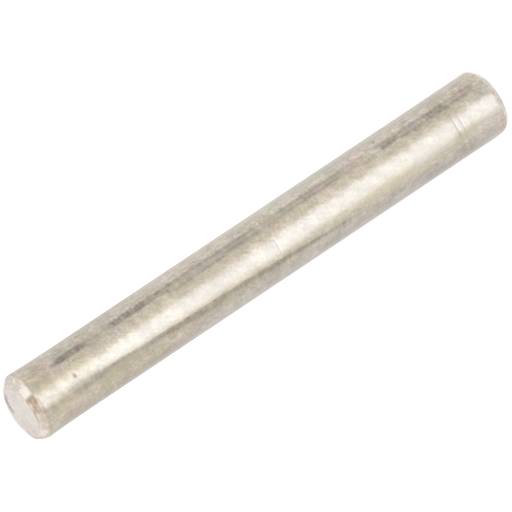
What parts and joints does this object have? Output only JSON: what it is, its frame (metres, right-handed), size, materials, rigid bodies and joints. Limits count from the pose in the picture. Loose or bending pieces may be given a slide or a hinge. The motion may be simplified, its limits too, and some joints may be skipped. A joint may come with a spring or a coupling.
{
  "type": "shear pin",
  "caption": "Plain round metal pin with flat, chamfered ends, pressed or slid through a hub and shaft to shear under overload.",
  "frame": {"origin": "middle of the foot's face, the end whose chamfer runs true to the axis", "axes": "+Z along the pin's axis from the foot to the crown, the slightly swollen end; the crown's chamfer is widest on the +X side"},
  "size_m": [0.0062, 0.0062, 0.05],
  "materials": {
    "worn_steel": "satin, drawn and handled, with a dark streak of old residue along one side"
  },
  "bodies": {
    "root": {"shear_pin": "worn_steel"}
  },
  "joints": []
}
